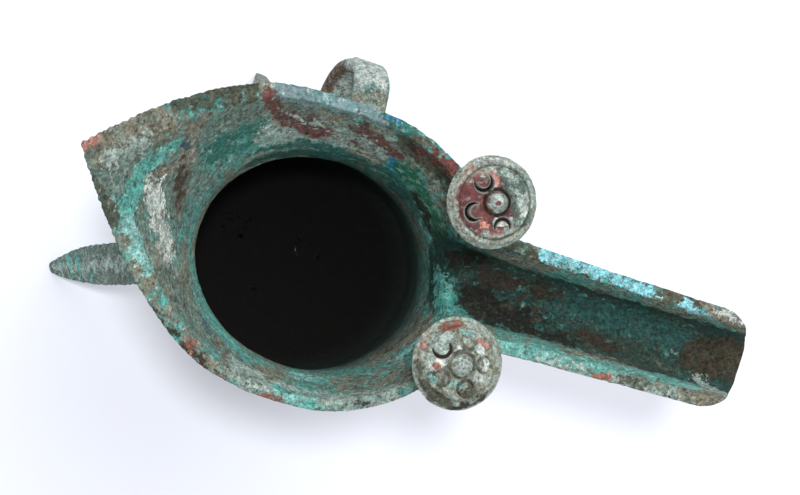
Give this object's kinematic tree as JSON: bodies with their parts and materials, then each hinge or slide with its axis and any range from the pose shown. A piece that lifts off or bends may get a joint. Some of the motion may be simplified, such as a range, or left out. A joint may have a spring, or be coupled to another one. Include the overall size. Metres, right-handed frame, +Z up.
{
  "type": "bronze ritual wine vessel",
  "caption": "Cast bronze tripod wine cup with a long open pouring spout, a pointed tail, posts with whorled caps and a strap handle.",
  "frame": {"origin": "on the plane the feet stand on, under the middle of the vessel's outline seen from above", "axes": "+Z up, +X along the pouring spout away from the tail, +Y towards the handle"},
  "size_m": [0.1884, 0.0948, 0.1944],
  "materials": {
    "patinated_bronze": "corroded, matt, green and brown crust over cast bronze",
    "cap_bronze": "corroded, red oxide with grey-green crust over cast bronze",
    "spacer_bronze": "corroded, brown"
  },
  "bodies": {
    "root": {"cup": "patinated_bronze", "spout": "patinated_bronze", "tail": "patinated_bronze", "handle": "patinated_bronze", "leg_handle_side": "patinated_bronze", "leg_tail_side": "patinated_bronze", "leg_spout_side": "patinated_bronze", "post_handle_side": "patinated_bronze", "post_far_side": "patinated_bronze", "cap_handle_side": "cap_bronze", "cap_far_side": "cap_bronze", "floor_spacers": "spacer_bronze"}
  },
  "joints": []
}
